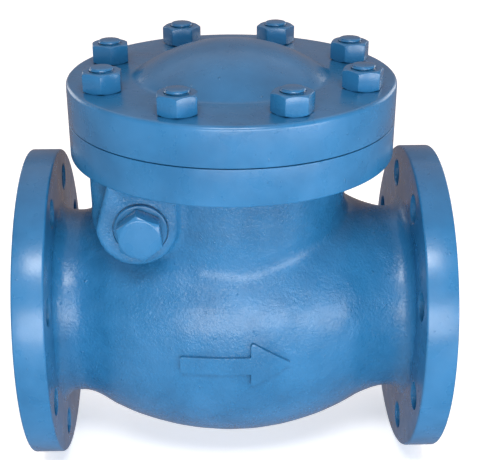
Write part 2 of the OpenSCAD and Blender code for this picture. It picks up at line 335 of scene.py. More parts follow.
def surface_net(name, field, low, high, step, materials, relief=None):
    """A closed quad mesh on field = 0 inside the box, its points brought onto the field."""
    axes = [np.arange(a, b + step, step) for a, b in zip(low, high)]
    x, y, z = np.meshgrid(*axes, indexing="ij", sparse=True)
    inside = np.broadcast_to(field(x, y, z), [len(a) for a in axes]) < 0
    corners = sum(
        inside[i : i - 1 or None, j : j - 1 or None, k : k - 1 or None].astype(np.int8)
        for i in (0, 1) for j in (0, 1) for k in (0, 1)
    )
    cells = (corners > 0) & (corners < 8)
    number = np.full(cells.shape, -1)
    number[cells] = np.arange(cells.sum())
    where = np.argwhere(cells)
    points = np.stack([axes[d][where[:, d]] for d in range(3)], -1) + step / 2
    quads = []
    for d in range(3):
        e, f = (d + 1) % 3, (d + 2) % 3
        first = np.moveaxis(inside, (d, e, f), (0, 1, 2))
        ids = np.moveaxis(number, (d, e, f), (0, 1, 2))
        change = first[:-1, 1:-1, 1:-1] != first[1:, 1:-1, 1:-1]
        i, j, k = np.nonzero(change)
        ring = np.stack([ids[i, j, k], ids[i, j + 1, k], ids[i, j + 1, k + 1], ids[i, j, k + 1]], -1)
        flip = ~first[:-1, 1:-1, 1:-1][i, j, k]
        ring[flip] = ring[flip][:, ::-1]
        quads.append(ring)
    quads = np.concatenate(quads)
    points = settle(field, points, quads)
    if relief is not None:
        points = points + slope(field, points)[1] * relief(points)[:, None]
    return mesh_object(name, points, quads.tolist(), materials)


def slope(field, points, h=0.05):
    """The field's value and unit direction at points."""
    x, y, z = points.T
    value = field(x, y, z)
    grad = np.stack(
        [
            field(x + h, y, z) - field(x - h, y, z),
            field(x, y + h, z) - field(x, y - h, z),
            field(x, y, z + h) - field(x, y, z - h),
        ],
        -1,
    ) / (2 * h)
    length = np.linalg.norm(grad, axis=1) + 1e-9
    return value / length, grad / length[:, None]


def onto_surface(field, points, passes):
    """Points moved onto field = 0, with the surface's direction at each of them."""
    for _ in range(passes):
        value, normal = slope(field, points)
        points = points - normal * value[:, None]
    return points, normal


def settle(field, points, quads, rounds=4, stride=0.6):
    """Evens out the quads along the surface and brings every point onto it."""
    edges = np.concatenate([quads[:, [i, (i + 1) % 4]] for i in range(4)])
    count = np.bincount(edges[:, 0], minlength=len(points)).astype(float)
    for _ in range(rounds):
        points, normal = onto_surface(field, points, 2)
        total = np.zeros_like(points)
        np.add.at(total, edges[:, 0], points[edges[:, 1]])
        drift = total / count[:, None] - points
        drift -= normal * np.sum(drift * normal, 1)[:, None]
        points = points + stride * drift
    return onto_surface(field, points, 3)[0]


def uneven(size_mm, height_mm):
    """Low waves of a sand casting: size of the waves and their height."""

    def relief(points):
        scale = 1.0 / size_mm
        return np.array([noise.noise(Vector(p) * scale) for p in points.tolist()]) * height_mm

    return relief


# ---------------------------------------------------------------- materials


def node_material(name):
    """A new material with its nodes, links, main shader and the place on the object."""
    material = bpy.data.materials.new(name)
    material.use_nodes = True
    tree = material.node_tree
    place = tree.nodes.new("ShaderNodeTexCoord").outputs["Object"]
    return material, tree.nodes, tree.links, tree.nodes["Principled BSDF"], place


def noise_node(nodes, links, place, size_mm, detail=2.0, roughness=0.5, stretch=None):
    """A noise texture whose features are about size_mm across."""
    texture = nodes.new("ShaderNodeTexNoise")
    texture.inputs["Scale"].default_value = 1.0 / (size_mm * MM)
    texture.inputs["Detail"].default_value = detail
    texture.inputs["Roughness"].default_value = roughness
    if stretch is None:
        links.new(place, texture.inputs["Vector"])
        return texture.outputs["Fac"]
    mapping = nodes.new("ShaderNodeMapping")
    mapping.inputs["Scale"].default_value = stretch
    links.new(place, mapping.inputs["Vector"])
    links.new(mapping.outputs["Vector"], texture.inputs["Vector"])
    return texture.outputs["Fac"]


def ramp_node(nodes, links, source, stops):
    """A colour ramp over a 0 to 1 value: stops are (position, colour)."""
    ramp = nodes.new("ShaderNodeValToRGB")
    elements = ramp.color_ramp.elements
    while len(elements) < len(stops):
        elements.new(0.5)
    for element, (position, colour) in zip(elements, stops):
        element.position = position
        element.color = (*colour, 1.0)
    links.new(source, ramp.inputs["Fac"])
    return ramp.outputs["Color"]


def range_node(nodes, links, source, low, high, noise_low=0.3, noise_high=0.7):
    """Maps the part of a noise between noise_low and noise_high onto low to high."""
    mapper = nodes.new("ShaderNodeMapRange")
    mapper.inputs["From Min"].default_value = noise_low
    mapper.inputs["From Max"].default_value = noise_high
    mapper.inputs["To Min"].default_value = low
    mapper.inputs["To Max"].default_value = high
    links.new(source, mapper.inputs["Value"])
    return mapper.outputs["Result"]


def bump_chain(nodes, links, shader, layers):
    """Bumps on bumps: layers are (height source, depth in mm)."""
    normal = None
    for source, depth_mm in layers:
        bump = nodes.new("ShaderNodeBump")
        bump.inputs["Distance"].default_value = depth_mm * MM
        links.new(source, bump.inputs["Height"])
        if normal is not None:
            links.new(normal, bump.inputs["Normal"])
        normal = bump.outputs["Normal"]
    links.new(normal, shader.inputs["Normal"])


PAINT_SHADES = ((0.012, 0.105, 0.245), (0.016, 0.123, 0.280), (0.022, 0.139, 0.310))


def enamel(name, grain_mm, rough=(0.30, 0.44), shades=PAINT_SHADES, coat=0.20):
    """Blue gloss enamel: brushed-on tone, orange peel and the grain of what lies under it."""
    material, nodes, links, shader, place = node_material(name)
    tone = noise_node(nodes, links, place, 38.0, detail=5.0, roughness=0.6)
    stops = list(zip((0.34, 0.5, 0.66), shades))
    links.new(ramp_node(nodes, links, tone, stops), shader.inputs["Base Color"])
    patches = noise_node(nodes, links, place, 14.0, detail=4.0)
    links.new(range_node(nodes, links, patches, *rough), shader.inputs["Roughness"])
    shader.inputs["Coat Weight"].default_value = coat
    shader.inputs["Coat Roughness"].default_value = 0.16
    shader.inputs["IOR"].default_value = 1.45
    waves = noise_node(nodes, links, place, 9.0, detail=2.0)
    sand = noise_node(nodes, links, place, 1.9, detail=3.0, roughness=0.6)
    peel = noise_node(nodes, links, place, 0.8, detail=1.0)
    dust = noise_node(nodes, links, place, 3.4, detail=1.0)
    specks = range_node(nodes, links, dust, 0.0, 1.0, 0.73, 0.80)
    bump_chain(nodes, links, shader, [
        (waves, 0.8 * grain_mm),
        (sand, grain_mm),
        (peel, 0.25 * grain_mm),
        (specks, 0.3),
    ])
    return material


def metal(name, colour, rough, streak_mm, stretch, depth_mm=0.02):
    """Machined metal: fine tool marks, a little colour change and uneven polish."""
    material, nodes, links, shader, place = node_material(name)
    shader.inputs["Metallic"].default_value = 1.0
    tone = noise_node(nodes, links, place, 16.0, detail=4.0)
    darker = tuple(0.78 * c for c in colour)
    links.new(ramp_node(nodes, links, tone, [(0.35, darker), (0.62, colour)]), shader.inputs["Base Color"])
    marks = noise_node(nodes, links, place, streak_mm, detail=3.0, stretch=stretch)
    links.new(range_node(nodes, links, marks, *rough), shader.inputs["Roughness"])
    bump_chain(nodes, links, shader, [(marks, depth_mm)])
    return material


def varnished_iron(name):
    """Cast iron under a thin dark varnish."""
    material, nodes, links, shader, place = node_material(name)
    tone = noise_node(nodes, links, place, 20.0, detail=6.0, roughness=0.65)
    stops = [
        (0.32, (0.022, 0.024, 0.027)),
        (0.55, (0.045, 0.047, 0.050)),
        (0.75, (0.075, 0.066, 0.058)),
    ]
    links.new(ramp_node(nodes, links, tone, stops), shader.inputs["Base Color"])
    patches = noise_node(nodes, links, place, 7.0, detail=4.0)
    links.new(range_node(nodes, links, patches, 0.38, 0.62), shader.inputs["Roughness"])
    shader.inputs["Metallic"].default_value = 0.25
    sand = noise_node(nodes, links, place, 1.6, detail=4.0, roughness=0.65)
    bump_chain(nodes, links, shader, [(sand, 0.22)])
    return material


def jointing(name):
    """Pressed fibre sheet of the gasket."""
    material, nodes, links, shader, place = node_material(name)
    fibres = noise_node(nodes, links, place, 1.2, detail=4.0, stretch=(1.0, 1.0, 3.0))
    stops = [(0.35, (0.018, 0.020, 0.021)), (0.65, (0.055, 0.058, 0.060))]
    links.new(ramp_node(nodes, links, fibres, stops), shader.inputs["Base Color"])
    shader.inputs["Roughness"].default_value = 0.85
    bump_chain(nodes, links, shader, [(fibres, 0.08)])
    return material


CAST = enamel("cast_enamel", 0.46, rough=(0.22, 0.33))
TURNED = enamel("turned_enamel", 0.07, rough=(0.24, 0.36))
FASTENER = enamel("fastener_enamel", 0.035, rough=(0.2, 0.32))
BRASS = metal("machined_brass", (0.78, 0.56, 0.24), (0.22, 0.38), 0.8, (1.0, 1.0, 1.0))
STAINLESS = metal("machined_stainless", (0.60, 0.60, 0.61), (0.2, 0.34), 0.7, (1.0, 1.0, 1.0))
IRON = varnished_iron("varnished_iron")
FIBRE = jointing("jointing_sheet")
BODY_ENAMELS = [CAST, TURNED]

# ---------------------------------------------------------------- body casting


def belly_field(x, s, grow=0.0):
    """Distance to the belly, as far as the arcs go; s is the distance from the pipe axis."""
    inlet = np.hypot(x, s - (BELLY_R - BELLY_ARC_IN)) - BELLY_ARC_IN
    outlet = np.hypot(x, s - (BELLY_R - BELLY_ARC_OUT)) - BELLY_ARC_OUT
    return np.where(x < 0, inlet, outlet) - grow


def u_field(x, z, middle_x, radius, lean=0.0):
    """The hinge housing seen from the front: round below the pin, straight or leaning above it."""
    rise = np.maximum(z - PIN_Z, 0)
    shift = lean * rise / (TOP_FLANGE_Z - PIN_Z)
    middle = x - middle_x - shift / 2
    half = radius - shift / 2
    return np.where(z < PIN_Z, np.hypot(x - middle_x, z - PIN_Z) - radius, np.abs(middle) - half)


def arrow():
    """A plain flow arrow standing proud of the belly's front, cut from a thicker belly."""
    head_l = 0.8 * ARROW_W
    shaft_half = 0.18 * ARROW_W
    tail_x = -ARROW_L / 2
    tip_x = ARROW_L / 2
    head_x = tip_x - head_l
    outline = rounded([
        (tail_x, -shaft_half, 2.0),
        (head_x, -shaft_half, 1.0),
        (head_x, -ARROW_W / 2, 1.5),
        (tip_x, 0, 1.5),
        (head_x, ARROW_W / 2, 1.5),
        (head_x, shaft_half, 1.0),
        (tail_x, shaft_half, 2.0),
    ], 5)
    count = len(outline)
    verts = [(x, y, z) for y in (-BELLY_R - ARROW_W, -BELLY_R / 2) for x, z in outline]
    faces = [list(range(count)), list(range(2 * count - 1, count - 1, -1))]
    faces += [(i, i + count, (i + 1) % count + count, (i + 1) % count) for i in range(count)]
    prism = mesh_object("arrow", verts, faces, BODY_ENAMELS)
    arc_r = BELLY_ARC_IN + ARROW_H
    bend = np.radians(np.arange(-16, 17))
    shell = [(BELLY_R - BELLY_ARC_IN + arc_r * math.cos(a), arc_r * math.sin(a)) for a in bend]
    shell = [(0, shell[0][1]), *shell, (0, shell[-1][1])]
    combine(prism, [turned("shell", shell, BODY_ENAMELS, "X", 360)], "INTERSECT")
    soften(prism, 0.8, 40, segments=3)
    return apply_modifiers(prism)


def casting_outside(x, y, z):
    """The casting without its hollow; s and t are the distances from the pipe and bonnet axes."""
    s = np.hypot(y, z)
    t = np.hypot(x, y)
    far = np.abs(x)
    shoulder = (s - SHOULDER_R - (x - SHOULDER_X)) * math.sqrt(0.5)
    belly = belly_field(x, s)
    belly = np.where(x < 0, keep_round(belly, shoulder, SHOULDER_EDGE), belly)
    barrel = np.maximum(join_round(belly, s - NECK_R, BELLY_FILLET), far - RIM_IN - LAP)
    plate = np.maximum(np.maximum(RIM_IN + SET_BACK - far, far - RIM_IN - LAP), s - FLANGE_R + LAP)
    barrel = join_round(barrel, plate, NECK_FILLET)
    below_joint = z - JOINT_Z + LAP
    tower = np.maximum(np.maximum(t - TOWER_R, -z), below_joint)
    top = np.maximum(np.maximum(TOP_FLANGE_Z + SET_BACK - z, below_joint), t - COVER_R + LAP)
    housing = keep_round(u_field(x, z, PIN_X, HOUSING_R), np.abs(y) - HOUSING_Y, HOUSING_EDGE)
    lug_length = np.maximum(LUG_Y - y, y - REAR_LUG_Y)
    lug = keep_round(u_field(x, z, LUG_X, LUG_R, LUG_LEAN), lug_length, LUG_EDGE)
    inside_top = z - TOP_FLANGE_Z - HOUSING_LAP
    housing = np.maximum(join_round(housing, lug, HOUSING_FILLET), inside_top)
    upper = join_round(join_round(tower, housing, HOUSING_FILLET), top, TOP_FILLET)
    return join_round(join_round(barrel, tower, CREASE_FILLET), upper, UPPER_FILLET)


def casting_hollow(x, y, z):
    """The chamber, the upright bore and the pin's pocket, less the bosses of the bushes."""
    s = np.hypot(y, z)
    t = np.hypot(x, y)
    wall_x = SEAT_FACE_X - SEAT_WALL
    chamber = keep_round(belly_field(x, s, -WALL), wall_x - x, CHAMBER_EDGE)
    chamber = np.maximum(chamber, x - RIM_IN)
    tower = np.maximum(t - TOWER_BORE_R, PIN_Z - POCKET_R - z)
    low_tower = np.maximum(np.maximum(t - TOWER_BORE_R, BORE_R / 2 - z), wall_x - x)
    tower = np.minimum(tower, low_tower)
    about_pin = np.hypot(x - PIN_X, z - PIN_Z)
    pocket = np.maximum(about_pin - POCKET_R, np.abs(y) + BUSH_IN_Y)
    hollow = join_round(join_round(chamber, tower, CHAMBER_FILLET), pocket, POCKET_FILLET)
    boss = np.maximum(about_pin - BUSH_R - BOSS_WALL, np.abs(y) + BUSH_END_Y)
    boss = np.maximum(boss, -BUSH_IN_Y - np.abs(y))
    return cut_round(hollow, boss, BOSS_EDGE)


def casting_field(x, y, z):
    return cut_round(casting_outside(x, y, z), casting_hollow(x, y, z), HOLLOW_EDGE)


def serrated_face(inner_r, outer_r, face_x, pitch=1.2, depth=0.12):
    """Points across a raised face, from inside out, with fine concentric grooves."""
    count = int((outer_r - inner_r) / pitch)
    points = []
    for i in range(count):
        start = inner_r + (outer_r - inner_r) * i / count
        points += [(start, face_x), (start + 0.5 * pitch, face_x - depth)]
    return points + [(outer_r, face_x)]


def all_turned(obj):
    """Gives every face the enamel of the turned surfaces."""
    obj.data.polygons.foreach_set("material_index", [1] * len(obj.data.polygons))
    return obj


def pipe_flange(side):
    """A pipe flange with its raised face, not yet bored or drilled; side is -1 for the inlet."""
    inner = BORE_R - LAP
    chamfer = 0.5
    edge = rounded([
        (inner, RIM_IN, 0),
        (FLANGE_R, RIM_IN, 1.6),
        (FLANGE_R, RIM_OUT, 1.2),
        (RAISED_R, RIM_OUT, 0.4),
    ])
    edge += [(RAISED_R, HALF_L - chamfer), (RAISED_R - chamfer, HALF_L)]
    face = serrated_face(BORE_R + 3, RAISED_R - 1.5, HALF_L)[::-1]
    outline = [(r, side * a) for r, a in [*edge, *face, (inner, HALF_L)]]
    return all_turned(turned("flange", outline, BODY_ENAMELS, "X", 240))


def hole_cutters(axis, side, count, pcd, radius, low, high, chamfer):
    """Drills on a bolt circle, flared at both faces of the plate between low and high."""
    past = 4
    flare_r = radius + chamfer + past
    outline = [
        (0, low - past),
        (flare_r, low - past),
        (radius, low + chamfer),
        (radius, high - chamfer),
        (flare_r, high + past),
        (0, high + past),
    ]
    drills = []
    for i in range(count):
        angle = (i + 0.5) * 2 * math.pi / count
        drill = turned("drill", [(r, side * a) for r, a in outline], BODY_ENAMELS, axis, 40)
        across = (pcd / 2 * math.cos(angle), pcd / 2 * math.sin(angle))
        offset = (0, *across) if axis == "X" else (*across, 0)
        drills.append(placed(drill, Matrix.Translation(offset)))
    return join("drills", drills)


def plain_cutter(axis, radius, low, high, segments=160):
    outline = [(0, low), (radius, low), (radius, high), (0, high)]
    return turned("cutter", outline, BODY_ENAMELS, axis, segments)


def on_pin(obj):
    """Moves something turned about the Y axis onto the hinge pin's axis."""
    return placed(obj, Matrix.Translation((PIN_X, 0, PIN_Z)))


def top_flange():
    """The flange under the bonnet, with the raised land that narrows the joint's gap."""
    inner = TOWER_BORE_R - LAP
    corners = [
        (inner, TOP_FLANGE_Z, 0),
        (COVER_R, TOP_FLANGE_Z, 1.6),
        (COVER_R, JOINT_Z + LAND_H, 0.3),
        (LAND_R, JOINT_Z + LAND_H, 0),
        (LAND_R, JOINT_Z, 0),
        (inner, JOINT_Z, 0),
    ]
    return all_turned(turned("top", rounded(corners), BODY_ENAMELS, "Z", 240))


def collar_groove():
    """The round groove in the lug's face, just outside the collar washer."""
    outline = [
        (WASHER_R, LUG_Y + 1.2),
        (WASHER_R + 0.8, LUG_Y + 1.2),
        (WASHER_R + 1.1, LUG_Y - 2),
        (WASHER_R, LUG_Y - 2),
    ]
    return on_pin(turned("groove", outline, BODY_ENAMELS, "Y", 96))


def body_casting():
    # The grid's box leaves some clear space round the core.
    past_rims = 9
    round_core = FLANGE_R - 2
    low = (-RIM_IN - past_rims, -round_core, -round_core)
    high = (RIM_IN + past_rims, round_core, JOINT_Z - 3)
    step = FINE_STEP
    relief = uneven(11.0, 0.22)
    core = surface_net("body_casting", casting_field, low, high, step, BODY_ENAMELS, relief)
    combine(core, [pipe_flange(-1), pipe_flange(1), top_flange(), arrow()], "UNION")
    # Cutters run on by past where they leave the metal and by lap where they meet another cut.
    past = 5
    lap = 1
    combine(core, [
        plain_cutter("X", BORE_R, -HALF_L - past, SEAT_LOW_X + lap),
        plain_cutter("X", SEAT_RING_R, SEAT_LOW_X, SEAT_FACE_X + lap),
        plain_cutter("X", BORE_R, RIM_IN - OUTLET_RUN, HALF_L + past),
        plain_cutter("Z", TOWER_BORE_R, TOP_FLANGE_Z, JOINT_Z + past),
        on_pin(plain_cutter("Y", BUSH_R, BUSH_END_Y - lap, -BUSH_END_Y + lap, 64)),
        on_pin(plain_cutter("Y", BUSH_R + 1, LUG_Y - past, BUSH_END_Y, 64)),
        collar_groove(),
        hole_cutters("X", -1, HOLE_COUNT, PIPE_PCD, INLET_HOLE_R, RIM_IN, RIM_OUT, 0.7),
        hole_cutters("X", 1, HOLE_COUNT, PIPE_PCD, OUTLET_HOLE_R, RIM_IN, RIM_OUT, 0.7),
        hole_cutters("Z", 1, STUD_COUNT, COVER_PCD, STUD_R, STUD_LOW_Z, JOINT_Z, 0.1),
    ], "DIFFERENCE")
    smooth(core)
    return core


# ---------------------------------------------------------------- bonnet


def dome_points(foot_r, foot_z, rise, count=26):
    """Points up a ball's cap from just inside its foot to the top."""
    ball_r = (foot_r * foot_r + rise * rise) / (2 * rise)
    foot_angle = math.asin(foot_r / ball_r)
    angles = [foot_angle * (1 - (i + 1) / count) for i in range(count)]
    return [(ball_r * math.sin(a), foot_z + rise - ball_r * (1 - math.cos(a)), 0) for a in angles]


def bonnet_casting():
    """The cover plate with its dome, hollow below."""
    hollow_r = DOME_FOOT_R - 3
    hollow_z = COVER_Z - WALL
    rise = DOME_Z - COVER_Z
    outside = dome_points(DOME_FOOT_R, COVER_Z, rise)
    inside = dome_points(hollow_r, hollow_z, rise - 2)[::-1]
    corners = [
        (hollow_r, BONNET_Z, 1.0),
        (LAND_R, BONNET_Z, 0),
        (LAND_R, BONNET_Z - LAND_H, 0),
        (COVER_R, BONNET_Z - LAND_H, 0.3),
        (COVER_R, COVER_Z, 3.0),
        (DOME_FOOT_R, COVER_Z, 6.0),
        *outside,
        *inside,
        (hollow_r, hollow_z, 0),
    ]
    bonnet = turned("bonnet_casting", rounded(corners, 5), [TURNED], "Z", 240)
    drills = hole_cutters("Z", 1, STUD_COUNT, COVER_PCD, STUD_R + 1, BONNET_Z, COVER_Z, 0.4)
    combine(bonnet, [drills], "DIFFERENCE")
    smooth(bonnet)
    return bonnet


# ---------------------------------------------------------------- fasteners


def hexagon(name, across_flats, low, high, bore_r, material, face_in=0.4):
    """A hexagon on Z with its corners turned off at 30 degrees, to face_in inside the flats."""
    corner = across_flats / 2 / math.cos(math.radians(30))
    turn = [math.radians(60 * i) for i in range(6)]
    ring = [(corner * math.cos(a), corner * math.sin(a)) for a in turn]
    verts = [(x, y, z) for z in (low, high) for x, y in ring]
    faces = [(5, 4, 3, 2, 1, 0), (6, 7, 8, 9, 10, 11)]
    faces += [(i, (i + 1) % 6, (i + 1) % 6 + 6, i + 6) for i in range(6)]
    block = mesh_object(name, verts, faces, [material])
    flat = across_flats / 2 - face_in
    drop = (corner + 1 - flat) * math.tan(math.radians(30))
    cone = [
        (0, low),
        (flat, low),
        (corner + 1, low + drop),
        (corner + 1, high - drop),
        (flat, high),
        (0, high),
    ]
    combine(block, [turned("cone", cone, [material], "Z", 96)], "INTERSECT")
    if bore_r:
        combine(block, [plain_cutter("Z", bore_r, low - 2, high + 2, 48)], "DIFFERENCE")
    soften(block, 0.35, 25)
    return apply_modifiers(block)


def around_cover(index):
    """The place of one of the studs."""
    angle = math.radians(STUD_STEP * (index + 0.5))
    return Matrix.Translation((COVER_PCD / 2 * math.cos(angle), COVER_PCD / 2 * math.sin(angle), 0))


# How far each nut is turned on its stud, in degrees.
NUT_TURNS = (10, 0, 2, 35, 31, 30, 8, 11)
NUT_FLATS = 24.0


def nuts():
    parts = []
    for index, turn in enumerate(NUT_TURNS):
        nut = hexagon("nut", NUT_FLATS, COVER_Z + 0.05, NUT_TOP_Z, STUD_R + 0.02, FASTENER)
        turn_matrix = Matrix.Rotation(math.radians(turn), 4, "Z")
        parts.append(placed(nut, around_cover(index) @ turn_matrix))
    obj = join("painted_nuts", parts)
    smooth(obj, 28)
    return obj


# The stud's thread: its pitch, its depth as a share of the pitch, its crest as a share of its flanks and
# the rings of points to each pitch; then the chamfer of the low end and the rounding of the high end.
THREAD_PITCH = 2.0
THREAD_DEPTH = 0.54
THREAD_CREST = 0.25
THREAD_ROWS = 8
ROD_CHAMFER = 1.2
CROWN = 1.9


def threaded_rod(name, radius, low, high, thread_from, pitch, material, segments=32):
    """A rod with a chamfered low end, a rounded high end and a cut thread near it."""
    rings = [(low, [radius - ROD_CHAMFER] * segments), (low + ROD_CHAMFER, [radius] * segments)]
    steps = int((high - thread_from) / pitch * THREAD_ROWS)
    for step in range(steps + 1):
        z = thread_from + (high - thread_from) * step / steps
        crown = 1.0 - min(1.0, max(0.0, (high - z) / CROWN))
        room = radius - CROWN * (1.0 - math.sqrt(1.0 - crown * crown))
        ring = []
        for i in range(segments):
            phase = (z / pitch - i / segments) % 1.0
            share = max(0.0, abs(2 * phase - 1) * (1 + THREAD_CREST) - THREAD_CREST)
            groove = 0.0 if z - thread_from < 0.5 else THREAD_DEPTH * pitch * share
            ring.append(min(radius - groove, room))
        rings.append((z, ring))
    verts = []
    for z, ring in rings:
        for i, r in enumerate(ring):
            angle = 2 * math.pi * i / segments
            verts.append((r * math.cos(angle), r * math.sin(angle), z))
    faces = [tuple(range(segments - 1, -1, -1)), tuple(range(len(verts) - segments, len(verts)))]
    for first in range(0, len(verts) - segments, segments):
        for i in range(segments):
            here = first + i
            beside = first + (i + 1) % segments
            faces.append((here, beside, beside + segments, here + segments))
    return mesh_object(name, verts, faces, [material])


def studs():
    parts = []
    thread_from = NUT_TOP_Z - 4
    for index in range(STUD_COUNT):
        rod = threaded_rod(
            "stud", STUD_R - 0.02, STUD_LOW_Z, STUD_TOP_Z, thread_from, THREAD_PITCH, FASTENER
        )
        parts.append(placed(rod, around_cover(index)))
    obj = join("painted_studs", parts)
    smooth(obj, 40)
    return obj


PLUG_FLATS = 27.0
PLUG_TURN = 7.0


def plug():
    """The hexagon plug that closes the bore of the hinge pin, with its shank."""
    head = hexagon("plug_head", PLUG_FLATS, 0, PLUG_SEAT_Y - PLUG_FRONT_Y, 0, FASTENER, 1.1)
    to_front = Matrix.Rotation(math.radians(90), 4, "X")
    flat_up = Matrix.Rotation(math.radians(30 + PLUG_TURN), 4, "Z")
    placed(head, Matrix.Translation((PIN_X, PLUG_SEAT_Y, PIN_Z)) @ to_front @ flat_up)
    shank_r = BUSH_R + 0.98
    outline = [
        (0, PLUG_SEAT_Y - 1),
        (shank_r, PLUG_SEAT_Y - 1),
        (shank_r, PLUG_IN_Y - 1),
        (BUSH_R, PLUG_IN_Y),
        (0, PLUG_IN_Y),
    ]
    combine(head, [on_pin(turned("shank", outline, [FASTENER], "Y", 64))], "UNION")
    head.name = "painted_plug"
    smooth(head, 28)
    return head


def collar_washer():
    inner = BUSH_R + 1
    outline = rounded([
        (inner, PLUG_SEAT_Y, 0),
        (WASHER_R, PLUG_SEAT_Y, 0.9),
        (WASHER_R, LUG_Y, 0.3),
        (inner, LUG_Y, 0),
    ])
    washer = on_pin(turned("painted_collar", outline, [FASTENER], "Y", 96))
    smooth(washer)
    return washer


# ---------------------------------------------------------------- disc and arm

EYE_R = 19.0
EYE_T = 13.0
HUB_R = 15.0
HUB_HALF = 24.0
WEB_R = 6.0
WEB_FLAT = 1.6
ELBOW_Z = 63.0
HEEL_HALF_X = 5.5
HEEL_HALF_Y = 10.0
HEEL_UP = 22.5
UNLIMITED = 500.0


def capsule(x, y, z, a, b, radius, flat):
    """A rounded bar from a to b in the XZ plane, flat times as wide along Y as it is thick."""
    ax, az = a
    bx, bz = b
    dx, dz = bx - ax, bz - az
    t = np.clip(((x - ax) * dx + (z - az) * dz) / (dx * dx + dz * dz), 0, 1)
    return np.sqrt((x - ax - t * dx) ** 2 + (z - az - t * dz) ** 2 + (y / flat) ** 2) - radius


def arm_field(x, y, z):
    """The swing arm: hub, bent web, eye and heel; the web and the eye keep the eye's thickness."""
    eye_x = ARM_BACK_X - EYE_T / 2
    about_pin = np.hypot(x - PIN_X, z - PIN_Z)
    hub = keep_round(about_pin - HUB_R, np.abs(y) - HUB_HALF, 1.0)
    upper = capsule(x, y, z, (PIN_X, PIN_Z), (eye_x, ELBOW_Z), WEB_R, WEB_FLAT)
    lower = capsule(x, y, z, (eye_x, ELBOW_Z), (eye_x, 0), WEB_R, WEB_FLAT)
    thickness = np.abs(x - eye_x) - EYE_T / 2
    eye = keep_round(np.hypot(y, z) - EYE_R, thickness, 1.2)
    web = join_round(upper, lower, 5.0)
    web = np.maximum(web, thickness - UNLIMITED * (z > ELBOW_Z - 8))
    heel_across = np.maximum(np.abs(x - PIN_X) - HEEL_HALF_X, np.abs(y) - HEEL_HALF_Y)
    heel = np.maximum(heel_across, np.maximum(z - PIN_Z - HEEL_UP, PIN_Z - z))
    solid = join_round(join_round(hub, web, 5.0), eye, 5.0)
    solid = join_round(solid, heel, 2.0)
    solid = np.maximum(solid, thickness - UNLIMITED * (z > EYE_R + 3))
    solid = cut_round(solid, about_pin - PIN_R, 0.4)
    stud_hole = np.maximum(np.hypot(y, z) - STUD_R - 0.05, eye_x - 9 - x)
    return cut_round(solid, stud_hole, 0.5)


def arm():
    low = (PIN_X - HUB_R - 3, -HUB_HALF - 3, -EYE_R - 3)
    high = (ARM_BACK_X + 3, HUB_HALF + 3, PIN_Z + 26)
    obj = surface_net("arm_casting", arm_field, low, high, 1.3, [IRON], uneven(7.0, 0.12))
    smooth(obj, 45)
    return obj


def disc():
    """The disc: recessed front, ring groove, tapered back with a boss round the stud."""
    ring_out = box_mm("disc_face_ring")[1][2]
    ring_in = ring_out - 5
    recess_x = DISC_X0 + 1.2
    stud_end_x = DISC_X0 + 3
    plate_x = DISC_X0 + 11
    front = [
        (0, recess_x, 0),
        (24, recess_x, 2.0),
        (28, DISC_X0, 2.0),
        (ring_in, DISC_X0, 0),
        (ring_in, RING_BACK_X, 0),
        (ring_out, RING_BACK_X, 0),
        (ring_out, DISC_X0, 0),
        (DISC_R, DISC_X0, 0.5),
    ]
    back = [
        (DISC_R, DISC_X0 + 5, 1.0),
        (DISC_R - 5, plate_x, 1.5),
        (36, plate_x, 6.0),
        (28, plate_x - 2.5, 5.0),
        (20, plate_x - 2.0, 3.0),
        (19, DISC_X1, 0.8),
    ]
    stud_hole = [(STUD_R, DISC_X1, 0), (STUD_R, stud_end_x, 0), (0, stud_end_x, 0)]
    corners = front + back + stud_hole
    obj = turned("disc_casting", rounded(corners, 4), [IRON], "X", 160)
    smooth(obj)
    return obj


def split_pin():
    """A bent split pin: an eye above the stud and two legs turned out below it."""
    low, high = box_mm("disc_split_pin")
    x = (low[0] + high[0]) / 2
    wire_r = 0.75
    eye_r = 2.2
    eye_z = high[2] - 3
    leg = [
        (-4.2, low[2] + 3.2),
        (-2.2, low[2] + 1.8),
        (-wire_r, low[2] + 4.0),
        (-wire_r, 0),
        (-wire_r, eye_z - 3.4),
    ]
    turns = [math.radians(a) for a in (215, 180, 135, 90, 45, 0, -35)]
    eye = [(eye_r * math.cos(a), eye_z + eye_r * math.sin(a)) for a in turns]
    path = leg + eye + [(-y, z) for y, z in reversed(leg)]
    curve = bpy.data.curves.new("split_pin_wire", "CURVE")
    curve.dimensions = "3D"
    curve.bevel_depth = wire_r * MM
    curve.bevel_resolution = 3
    curve.use_fill_caps = True
    spline = curve.splines.new("POLY")
    spline.points.add(len(path) - 1)
    for point, (y, z) in zip(spline.points, path):
        point.co = (MIDDLE_X + x * MM, y * MM, z * MM, 1)
    source = new_object("split_pin_source", curve)
    bpy.context.view_layer.update()
    depsgraph = bpy.context.evaluated_depsgraph_get()
    mesh = bpy.data.meshes.new_from_object(source.evaluated_get(depsgraph))
    bpy.data.objects.remove(source)
    mesh.materials.clear()
    mesh.materials.append(STAINLESS)
    obj = new_object("bent_split_pin", mesh)
    smooth(obj, 60)
    return obj


def stand_in(obj, body, node):
    """obj moves with body and is shown in place of the CAD node."""
    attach(obj, body)
    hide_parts(node)


stand_in(body_casting(), "casing", "body")
stand_in(bonnet_casting(), "casing", "bonnet")
stand_in(nuts(), "casing", "bonnet_nuts")
stand_in(studs(), "casing", "bonnet_studs")
stand_in(plug(), "casing", "hinge_plug")
stand_in(collar_washer(), "casing", "plug_washer")
stand_in(arm(), "arm", "hinge_arm")
stand_in(disc(), "flap", "disc")
stand_in(split_pin(), "flap", "disc_split_pin")

# ---------------------------------------------------------------- CAD nodes that stay

